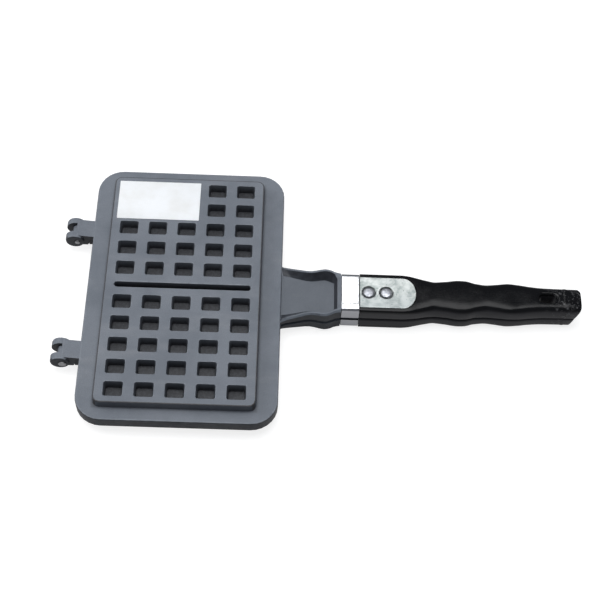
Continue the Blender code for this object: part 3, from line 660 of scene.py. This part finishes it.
def cover_look():
    """Brushed metal with dull stains and small spots, darker towards -Y, with grime and painted shade in the
    groove round each rivet.
    """
    look = Look("cover_metal_stained", Metallic=1.0)
    brush = look.noise(520.0, 4.0, 0.6, place=look.sized((0.12, 3.0, 1.0)))
    stain = look.noise(120.0, 5.0, 0.65, distortion=0.8)
    spots = look.span(look.cells(300.0), 0.08, 0.2)
    tone = look.mix(look.span(stain, 0.36, 0.66), *cover_metal)
    tone = look.mix(look.span(brush, 0.35, 0.75, 0.0, 0.35), tone, cover_brushed)
    tone = look.mix(look.math("SUBTRACT", 1.0, spots), tone, cover_spot)
    # Darker towards the -Y side
    toward_minus_y = look.span(look.axis("Y"), *cover_minus_y_reach, 0.55, 0.0)
    tone = look.mix(toward_minus_y, tone, cover_minus_y_tone)
    # Grime and painted shade in the groove round each rivet's head
    tone = look.mix(look.math("MULTIPLY", rivet_ring(look), groove_grime_and_shade_share), tone, cover_groove_grime_and_shade)
    dull = look.span(stain, 0.3, 0.7, 0.28, 0.46)
    roughness = look.math("ADD", dull, look.span(brush, 0.3, 0.8, 0.0, 0.08))
    return look.finish(tone, roughness, look.bump(brush, 0.18, fine_relief))


def rivet_look():
    """Dull rivet metal with darker, greasy patches."""
    look = Look("rivet_metal_dull", Metallic=1.0)
    grime = look.noise(600.0, 4.0, 0.6)
    tone = look.mix(look.span(grime, 0.35, 0.7), *rivet_metal)
    return look.finish(tone, look.span(grime, 0.3, 0.7, 0.30, 0.5), look.bump(grime, 0.15, fine_relief))


def grip_look():
    """Moulded black resin with hair scratches, a slight ripple, dust, sides greyed by painted sheen and a
    scuffed end.
    """
    look = Look("grip_black_moulded", Specular_IOR_Level=0.15)
    ripple = look.noise(95.0, 2.0, 0.5)
    scratch = look.noise(700.0, 5.0, 0.7, place=look.sized((0.3, 2.2, 1.0)))
    dust = look.noise(900.0, 4.0, 0.7)
    tone = look.mix(look.span(dust, 0.56, 0.78, 0.0, 0.5), *grip_resin)
    level = look.math("ABSOLUTE", look.math("SUBTRACT", look.axis("Z"), half_height))
    # Painted sheen: the sides are lighter than the top
    tone = look.mix(look.span(level, *grip_side_level, 0.85, 0.0), tone, grip_side_sheen)
    along = look.math("SUBTRACT", look.axis("X"), plate_x + handle_end)
    scuff = look.span(look.noise(330.0, 4.0, 0.7), 0.53, 0.64)
    scuff = look.math("MULTIPLY", scuff, look.span(along, *scuff_reach, 0.0, 0.55))
    tone = look.mix(scuff, tone, grip_scuffed)
    polish = look.span(ripple, 0.35, 0.7, 0.13, 0.21)
    roughness = look.math("ADD", polish, look.span(scratch, 0.55, 0.8, 0.0, 0.14))
    normal = look.bump(scratch, 0.06, fine_relief, look.bump(ripple, 0.10, ripple_relief))
    return look.finish(tone, roughness, normal)


def steel_look():
    """Dull steel with turning marks and brown spots."""
    look = Look("steel_dull", Metallic=1.0)
    marks = look.noise(800.0, 4.0, 0.6)
    rust = look.noise(350.0, 4.0, 0.65)
    tone = look.mix(look.span(marks, 0.3, 0.7), *steel_turned)
    tone = look.mix(look.span(rust, 0.58, 0.75, 0.0, 0.7), tone, steel_rust)
    return look.finish(tone, look.span(rust, 0.4, 0.75, 0.34, 0.66), look.bump(marks, 0.2, fine_relief))


def brass_look():
    """Turned brass with fine marks."""
    look = Look("insert_brass_turned", Metallic=1.0)
    marks = look.noise(900.0, 4.0, 0.6, place=look.sized((1.0, 1.0, 4.0)))
    tone = look.mix(look.span(marks, 0.3, 0.7), *brass_turned)
    return look.finish(tone, look.span(marks, 0.3, 0.7, 0.26, 0.42), look.bump(marks, 0.2, fine_relief))


def paper_look():
    """Matt paper with its fibres, shallow creases and a slight yellowing in patches."""
    look = Look("label_paper_blank", Specular_IOR_Level=0.25)
    fibre = look.noise(1400.0, 4.0, 0.7)
    crease = look.noise(75.0, 3.0, 0.55, place=look.sized((1.0, 2.4, 1.0)), distortion=0.7)
    patch = look.noise(48.0, 3.0, 0.6)
    tone = look.mix(look.span(patch, 0.4, 0.72), *paper_sheet)
    tone = look.mix(look.span(fibre, 0.45, 0.8, 0.0, 0.3), tone, paper_fibre)
    normal = look.bump(fibre, 0.12, fine_relief, look.bump(crease, 0.30, soft_relief))
    return look.finish(tone, look.span(fibre, 0.3, 0.7, 0.72, 0.86), normal)


looks = {
    "cast_metal": cast_look(),
    "ferrule_chrome": chrome_look(),
    "cover_metal": cover_look(),
    "rivet_metal": rivet_look(),
    "grip_black": grip_look(),
    "steel": steel_look(),
    "insert_brass": brass_look(),
    "label_paper": paper_look()}


def stands_for(item, node, half):
    """Puts a piece in the place of a node and the body it rides on."""
    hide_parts(node)
    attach(item, half + "_half")


# Castings: the imported shape with softened edges, and masks for its edges, recesses, inner side and the
# walls that get painted shade

def zone(face):
    """Where a cast face in a half's frame lies: in a recess, on the inner side or outside."""
    x, y, z = face.calc_center_median()
    if face.normal.z < -facing_up and z > inner_level and abs(x) < panel_half_width:
        return "inside"
    if max(abs(vert.co.x) for vert in face.verts) > panel_half_width:
        return "outside"
    if max(abs(vert.co.y) for vert in face.verts) > panel_half_length:
        return "outside"
    if z > half_height - 2 * merge_distance:
        return "outside"
    row = min(max(round((abs(y) - first_row) / pitch_y), 0), pocket_rows - 1)
    centre_x = min(max(round(x / pitch_x), -middle_column), middle_column) * pitch_x
    centre_y = math.copysign(first_row + row * pitch_y, y)
    reach = (pocket_half[0] + cast_edge, pocket_half[1] + cast_edge)
    if abs(y) < slot_half[1] + pocket_draft:
        centre_x = centre_y = 0.0
        reach = (slot_half[0] + 2 * cast_edge, slot_half[1] + 2 * cast_edge)
    across = x - centre_x
    along = y - centre_y
    if abs(across) < reach[0] and abs(along) < reach[1] and z > pocket_floor - touch_gap:
        if face.normal.z > facing_up or across * face.normal.x + along * face.normal.y < 0:
            return "recess"
    return "inside"


def recess_tools():
    """Tools that round the corners and the mouths of all recesses of a half."""
    made = bmesh.new()
    levels = [(pocket_floor, -pocket_draft), (half_height - cast_edge, 0.0)]
    for step in range(1, edge_steps + 1):
        rise = step / edge_steps
        levels.append((half_height - cast_edge * (1 - rise), cast_edge * (1 - math.sqrt(1 - rise * rise))))
    levels.append((half_height + overrun, cast_edge))
    for side in (1, -1):
        for row in range(pocket_rows):
            for column in range(pocket_columns):
                x = (column - middle_column) * pitch_x
                y = side * (first_row + row * pitch_y)
                sections = []
                for z, spread in levels:
                    half_x = pocket_half[0] + spread + recess_trim
                    half_y = pocket_half[1] + spread + recess_trim
                    outline = rounded_rectangle(half_x, half_y, pocket_corner, edge_steps)
                    sections.append([(x + px, y + py, z) for px, py in outline])
                add_to(made, loft(sections))
    return mesh_from(made, "recess_tools")


def masks(face):
    """How far a cast face in a half's frame is edge, recess, inner side and a wall that gets painted shade.
    """
    kind = zone(face)
    x, y, z = face.calc_center_median()
    normal = face.normal
    thin = face.calc_area() < narrow_face * max(edge.calc_length() for edge in face.edges)
    facing_out = rim_facing[0] < normal.z < rim_facing[1]
    rim = kind == "outside" and thin and facing_out and z > neck_gap and x < neck_edge
    lip = kind == "recess" and z > half_height - cast_edge and normal.z > lip_facing
    # A sideways wall, and an inward face of the neck channel, gets painted shade
    wall = 1.0 if abs(normal.z) < wall_facing else 0.0
    if x > neck_edge:
        inward = max(-math.copysign(normal.y, normal.y * y), -normal.x)
        low, high = inward_facing
        wall = max(wall, min(1.0, max(0.0, (inward - low) / (high - low))))
    return {
        "edge": rim_wear if rim else lip_wear if lip else 0.0,
        "recess": 1.0 if kind == "recess" and not lip else 0.0,
        "inside": 1.0 if kind == "inside" else 0.0,
        "wall": wall if kind == "outside" else 0.0}


def casting(half):
    """A packed casting with rounded recesses, soft edges and the masks of its finish and of its painted
    shade.
    """
    node = half + "_plate"
    source = nodes[node].data.copy()
    packed_normals = source.attributes.get("custom_normal")
    if packed_normals is not None:
        source.attributes.remove(packed_normals)
    bm = bmesh.new()
    bm.from_mesh(source)
    bpy.data.meshes.remove(source)
    bm.transform(half_matrix(half).inverted())
    bmesh.ops.remove_doubles(bm, verts=bm.verts, dist=merge_distance)
    bmesh.ops.dissolve_limit(bm, angle_limit=flat_angle, verts=bm.verts, edges=bm.edges)
    mesh = cut(mesh_from(bm, node + "_shape"), recess_tools(), node + "_shape")
    bm = bmesh.new()
    bm.from_mesh(mesh)
    layers = {name: bm.faces.layers.float.new(name) for name in ("edge", "recess", "inside", "wall")}
    for face in bm.faces:
        for name, value in masks(face).items():
            face[layers[name]] = value
    mesh = mesh_from(bm, node + "_cast")
    item = piece(node + "_cast", mesh, looks["cast_metal"], half, cast_angle)
    weigh = item.modifiers.new("normals", "WEIGHTED_NORMAL")
    weigh.keep_sharp = True
    stands_for(item, node, half)


for half in ("upper", "lower"):
    casting(half)


# Handle pieces

def ferrule(half):
    """The bright band, with rolled ends."""
    start = neck_end + touch_gap
    length = ferrule_end - start
    rows = []
    for share in ferrule_row_shares:
        edge = min(share, 1 - share) * length / metal_edge
        inset = metal_edge * (1 - math.sqrt(max(0.0, 1 - (1 - min(1.0, edge)) ** 2)))
        outline = dome(ferrule_half_width - inset, neck_gap, ferrule_height - inset, ferrule_power)
        rows.append([(start + share * length, y, z) for y, z in outline])
    bore = dome(ferrule_half_width - ferrule_wall, neck_gap, ferrule_height - ferrule_wall, ferrule_power)
    lining = [[(x, y, z) for y, z in bore] for x in (start, ferrule_end)]
    bm = sheet(rows)
    add_to(bm, sheet([rows[0], lining[0]]))
    add_to(bm, sheet([rows[-1], lining[1]]))
    add_to(bm, sheet(lining))
    bmesh.ops.remove_doubles(bm, verts=bm.verts, dist=merge_distance)
    bmesh.ops.holes_fill(bm, edges=[edge for edge in bm.edges if edge.is_boundary], sides=0)
    name = half + "_ferrule_band"
    item = piece(name, mesh_from(bm, name), looks["ferrule_chrome"], half)
    stands_for(item, half + "_ferrule", half)


def grip_section(x, lean):
    """The rounded section at x, with the bead round the end. The end leans one way on both halves."""
    taper = max(0.0, (x - handle_end + grip_taper) / grip_taper)
    from_bead = abs(x - handle_end + bead_inset) / bead_width
    bead = bead_height * (math.cos(math.pi * min(1.0, from_bead)) + 1) / 2
    to_end = min(1.0, (handle_end - x) / grip_end_chamfer)
    inset = grip_end_inset * (1 - to_end) ** grip_end_power
    share = min(1.0, max(0.0, (x - grip_start) / grip_length))
    width_share, power = smooth_rows(grip_wave_shares, share)
    closing = max(0.0, (share - grip_closing_share) / (1 - grip_closing_share))
    low = grip_gap + (grip_end_gap - grip_gap) * closing
    half_width = width_share * grip_half_width + bead - inset
    height = grip_height + bead - grip_end_drop * inset / grip_end_inset
    foot = half_width - grip_edge
    edge = arc((foot, low + grip_edge), grip_edge, -math.pi / 2, 0.0, edge_steps)
    outline = edge + dome(half_width, low + grip_edge, height, power)[1:-1]
    outline += [(-y, z) for y, z in reversed(edge)]
    slope = taper * grip_end_lean / half_height
    return [(x - slope * (end_top - lean * z), y, z) for y, z in outline]


def crown_rows(length, half_width, drop, rows_round, columns, dishes=False):
    """Rows of points over the grip's crown, with the rounded end of the cover plate."""
    straight = length - cover_round
    places = [(straight * step / (2 * rows_round), half_width) for step in range(2 * rows_round + 1)]
    for step in range(1, rows_round + 1):
        turn = math.pi / 2 * step / rows_round
        spread = half_width * max(math.cos(turn), touch_gap / half_width)
        places.append((straight + cover_round * math.sin(turn), spread))
    rows = []
    for along, spread in places:
        row = []
        for index in range(-columns, columns + 1):
            y = spread * index / columns
            z = crown(y, grip_half_width, grip_gap, cover_height) - drop
            if dishes:
                near = min(math.hypot(along - spot + grip_start, y) for spot in rivet_places)
                fall = min(1.0, max(0.0, (dish_radius - near) / dish_wall))
                z -= dish_depth * fall * fall * (3 - 2 * fall)
            row.append((along, y, z))
        rows.append(row)
    return rows


def shifted(rows, x):
    """Rows of points, moved along the handle."""
    return [[(point[0] + x, point[1], point[2]) for point in row] for row in rows]


def flared_hole():
    """The hanging hole's tool, with a rounded lip at the outer face."""
    sections = []
    levels = [(-overrun, 0.0), (grip_height - hanger_edge, 0.0)]
    for step in range(1, edge_steps + 1):
        rise = step / edge_steps
        spread = hanger_edge * (1 - math.sqrt(1 - rise * rise))
        levels.append((grip_height - hanger_edge * (1 - rise), spread))
    levels.append((grip_height + overrun, hanger_edge))
    for z, spread in levels:
        half_x = hanger_half[0] + spread
        half_y = hanger_half[1] + spread
        outline = rounded_rectangle(half_x, half_y, half_y - touch_gap)
        sections.append([(x + handle_end - hanger_inset, y, z) for x, y in outline])
    return mesh_from(loft(sections), "flared_hole")


def grip(half, lean):
    """The moulding, with the cover plate's bed and the hanging hole cut out."""
    bead_place = handle_end - bead_inset
    last = bead_place - bead_width
    places = [grip_start + (last - grip_start) * step / grip_stations for step in range(grip_stations + 1)]
    places += [last + bead_width * step / edge_steps for step in range(1, 2 * edge_steps + 1)]
    flat_end = handle_end - grip_end_chamfer
    places += [flat_end + grip_end_chamfer * step / edge_steps for step in range(edge_steps + 1)]
    name = half + "_grip_moulding"
    mesh = mesh_from(loft([grip_section(x, lean) for x in places]), name)
    depth = cover_thickness + touch_gap
    bed = crown_rows(cover_length + touch_gap, cover_half_width + touch_gap, depth, *bed_steps)
    bed.insert(0, [(-overrun, y, z) for _, y, z in bed[0]])
    rise = cover_thickness + overrun
    raised = [[(x, y, z + rise) for x, y, z in row] for row in shifted(bed, grip_start)]
    mesh = cut(mesh, mesh_from(thickened(raised, rise), "bed"), name)
    mesh = cut(mesh, flared_hole(), name)
    item = piece(name, mesh, looks["grip_black"], half)
    stands_for(item, half + "_grip", half)


def cover_plate(half):
    """The metal plate that follows the crown, with a dished seat for each rivet."""
    rows = crown_rows(cover_length, cover_half_width, 0.0, *cover_steps, dishes=True)
    bm = thickened(shifted(rows, grip_start), cover_thickness - touch_gap)
    rim = []
    for edge in bm.edges:
        surface = crown(edge.verts[0].co.y, grip_half_width, grip_gap, cover_height)
        upper = min(vert.co.z for vert in edge.verts) > surface - touch_gap
        if upper and edge.calc_face_angle(0.0) > cover_rim_angle:
            rim.append(edge)
    bmesh.ops.bevel(bm, geom=rim, offset=metal_edge, segments=2, profile=0.5, affect="EDGES")
    name = half + "_cover_plate_brushed"
    item = piece(name, mesh_from(bm, name), looks["cover_metal"], half)
    stands_for(item, half + "_cover_plate", half)


def head_profile(radius, height, seat):
    """A domed head on a low upright rim, above its seat."""
    points = [(0.0, seat + height)]
    for step in range(1, head_steps + 1):
        turn = math.pi / 2 * step / head_steps
        rise = head_rim_share + (1 - head_rim_share) * math.cos(turn)
        points.append((radius * math.sin(turn), seat + height * rise))
    return points


def rivet(half, word, x):
    """A rivet with its head in the dish and its tail below the tang."""
    seat = cover_height - dish_depth + touch_gap
    tail = [
        (rivet_head_radius, seat),
        (rivet_radius, seat),
        (rivet_radius, tang_low),
        (rivet_tail_radius, tang_low),
        (rivet_tail_radius, (tang_low + touch_gap) / 2),
        (0.0, touch_gap)]
    profile = head_profile(rivet_head_radius, rivet_head_height, seat) + rounded_profile(tail, metal_edge)
    name = half + "_rivet_" + word
    item = piece(name + "_head", mesh_from(turned(profile, (x, 0.0, 0.0)), name), looks["rivet_metal"], half)
    stands_for(item, name, half)


def hinge_pin(name, side):
    """A pin with a domed head at the outer side of its lug and a bevelled end."""
    seat = knuckle_width / 2 + touch_gap
    foot = -knuckle_width / 2 - pin_tail
    shank = [(pin_head_radius, seat), (pin_radius, seat), (pin_radius, foot + pin_edge),
             (pin_radius - pin_edge, foot), (0.0, foot)]
    profile = head_profile(pin_head_radius, pin_head_height, seat) + rounded_profile(shank, metal_edge)
    bm = turned(profile, (-pin_reach, side * lug_spacing / 2, 0.0), (0.0, side, 0.0))
    item = piece(name + "_turned", mesh_from(bm, name), looks["steel"], "upper")
    stands_for(item, name, "upper")


def paper_label():
    """A blank label with soft corners and a fine bevel round its face."""
    low = half_height + touch_gap / 4
    outline = rounded_rectangle(*label_half, label_corner, label_steps)
    centre = Vector((*label_centre, 0.0))
    loops = []
    bevel = label_thickness / 2
    for inset, z in ((0.0, low), (0.0, low + bevel), (bevel, low + label_thickness)):
        shares = (1 - inset / label_half[0], 1 - inset / label_half[1])
        loops.append([centre + Vector((x * shares[0], y * shares[1], z)) for x, y in outline])
    name = "paper_label_blank"
    item = piece(name, mesh_from(loft(loops), name), looks["label_paper"], "upper")
    stands_for(item, "paper_label", "upper")


for half, lean in (("upper", 1), ("lower", -1)):
    ferrule(half)
    grip(half, lean)
    cover_plate(half)
    for word, x in zip(("inner", "outer"), rivet_places):
        rivet(half, word, x)
hinge_pin("hinge_pin_rear", 1)
hinge_pin("hinge_pin_front", -1)
paper_label()

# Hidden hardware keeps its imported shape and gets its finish
for name, item in nodes.items():
    for word, slot in (("washer", "steel"), ("screw", "steel"), ("insert", "insert_brass")):
        if word in name:
            item.data.materials.clear()
            item.data.materials.append(looks[slot])


# Stage, lights and camera

def stage_look():
    """A floor that the camera sees near white and reflections see dimmer. It keeps the shadow."""
    look = Look("floor_white", Roughness=0.9, Specular_IOR_Level=0.1)
    shader = look.shader
    shader.inputs["Base Color"].default_value = (floor_tone, floor_tone, floor_tone, 1.0)
    ray = look.node("ShaderNodeLightPath")
    seen = look.math("MAXIMUM", ray.outputs["Is Camera Ray"], ray.outputs["Is Transmission Ray"])
    seen = look.math("MAXIMUM", seen, look.math("MULTIPLY", ray.outputs["Is Glossy Ray"], glossy_share))
    shader.inputs["Emission Color"].default_value = (1.0, 1.0, 1.0, 1.0)
    look.feed(shader.inputs["Emission Strength"], look.math("MULTIPLY", seen, floor_glow))
    return look.material


def stage_floor():
    bpy.ops.mesh.primitive_grid_add(
        x_subdivisions=2, y_subdivisions=2, size=floor_size, location=(0.0, 0.0, -floor_drop))
    floor = bpy.context.object
    floor.name = "floor"
    floor.data.materials.append(stage_look())


def soft_light(name, place, size, power, colour):
    """A rectangular light that looks at the middle of the model."""
    data = bpy.data.lights.new(name, "AREA")
    data.shape = "RECTANGLE"
    data.size = size[0]
    data.size_y = size[1]
    data.energy = power
    data.color = colour
    item = bpy.data.objects.new(name, data)
    item.location = place
    item.rotation_mode = "QUATERNION"
    item.rotation_quaternion = (-Vector(place)).to_track_quat("-Z", "Y")
    bpy.context.scene.collection.objects.link(item)


def studio_world():
    """A dim grey surround, a little lighter in front than at the back. The camera sees it near white."""
    world = bpy.data.worlds.new("studio")
    world.use_nodes = True
    bpy.context.scene.world = world
    tree = world.node_tree
    background = tree.nodes["Background"]
    ramp = tree.nodes.new("ShaderNodeValToRGB")
    split = tree.nodes.new("ShaderNodeSeparateXYZ")
    place = tree.nodes.new("ShaderNodeTexCoord")
    # The ramp reads a direction's Y, from -1 to 1, as 0 to 1
    lean = tree.nodes.new("ShaderNodeMath")
    lean.operation = "MULTIPLY_ADD"
    for number in (1, 2):
        lean.inputs[number].default_value = 0.5
    tree.links.new(place.outputs["Generated"], split.inputs[0])
    tree.links.new(split.outputs["Y"], lean.inputs[0])
    tree.links.new(lean.outputs[0], ramp.inputs[0])
    tree.links.new(ramp.outputs[0], background.inputs["Color"])
    pale = tree.nodes.new("ShaderNodeBackground")
    pale.inputs["Color"].default_value = world_seen
    ray = tree.nodes.new("ShaderNodeLightPath")
    seen = tree.nodes.new("ShaderNodeMixShader")
    tree.links.new(ray.outputs["Is Camera Ray"], seen.inputs[0])
    tree.links.new(background.outputs[0], seen.inputs[1])
    tree.links.new(pale.outputs[0], seen.inputs[2])
    tree.links.new(seen.outputs[0], tree.nodes["World Output"].inputs["Surface"])
    ramp.color_ramp.elements[0].color = world_front
    ramp.color_ramp.elements[1].color = world_back
    background.inputs["Strength"].default_value = 1.0


def photo_camera():
    data = bpy.data.cameras.new("camera")
    data.lens = camera_lens
    data.sensor_width = camera_sensor
    data.clip_start, data.clip_end = camera_clip
    camera = bpy.data.objects.new("camera", data)
    camera.matrix_world = Matrix(camera_rows)
    bpy.context.scene.collection.objects.link(camera)
    bpy.context.scene.camera = camera


stage_floor()
for light in lights:
    soft_light(*light)
studio_world()
photo_camera()
bpy.context.scene.view_settings.view_transform = "Standard"
